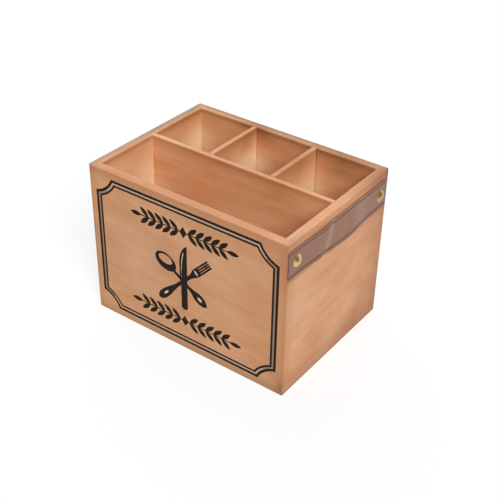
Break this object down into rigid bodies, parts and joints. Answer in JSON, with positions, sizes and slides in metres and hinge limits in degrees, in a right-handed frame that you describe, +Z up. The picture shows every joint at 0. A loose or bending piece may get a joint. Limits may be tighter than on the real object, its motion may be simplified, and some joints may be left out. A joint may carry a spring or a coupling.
{
  "type": "cutlery organizer",
  "caption": "Open-topped wooden caddy with a long front bay, rear bays, an engraved front and a slack studded strap handle on each side, for standing cutlery.",
  "frame": {"origin": "on the table surface, under the middle of the box", "axes": "+Z up, front board faces -Y, +X towards the right side as seen from the front"},
  "size_m": [0.2492, 0.176, 0.175],
  "materials": {
    "stained_plywood": "satin",
    "pin_steel": "satin",
    "strap_leather": "matte",
    "stud_brass": "polished"
  },
  "bodies": {
    "box": {"front_panel": "stained_plywood", "back_panel": "stained_plywood", "left_side_panel": "stained_plywood", "right_side_panel": "stained_plywood", "base_panel": "stained_plywood", "long_divider": "stained_plywood", "left_cross_divider": "stained_plywood", "right_cross_divider": "stained_plywood", "corner_pins": "pin_steel", "divider_pins": "pin_steel", "left_front_strap_tab": "strap_leather", "left_rear_strap_tab": "strap_leather", "right_front_strap_tab": "strap_leather", "right_rear_strap_tab": "strap_leather", "left_front_stud": "stud_brass", "left_rear_stud": "stud_brass", "right_front_stud": "stud_brass", "right_rear_stud": "stud_brass"},
    "left_grip": {"left_strap_grip": "strap_leather"},
    "right_grip": {"right_strap_grip": "strap_leather"}
  },
  "joints": [
    {"name": "left_strap_pull", "type": "slide", "parent": "box", "child": "left_grip", "axis": [-1, 0, 0], "range_m": [0, 0.01], "stiffness_N_per_m": 120},
    {"name": "right_strap_pull", "type": "slide", "parent": "box", "child": "right_grip", "axis": [1, 0, 0], "range_m": [0, 0.01], "stiffness_N_per_m": 120}
  ]
}
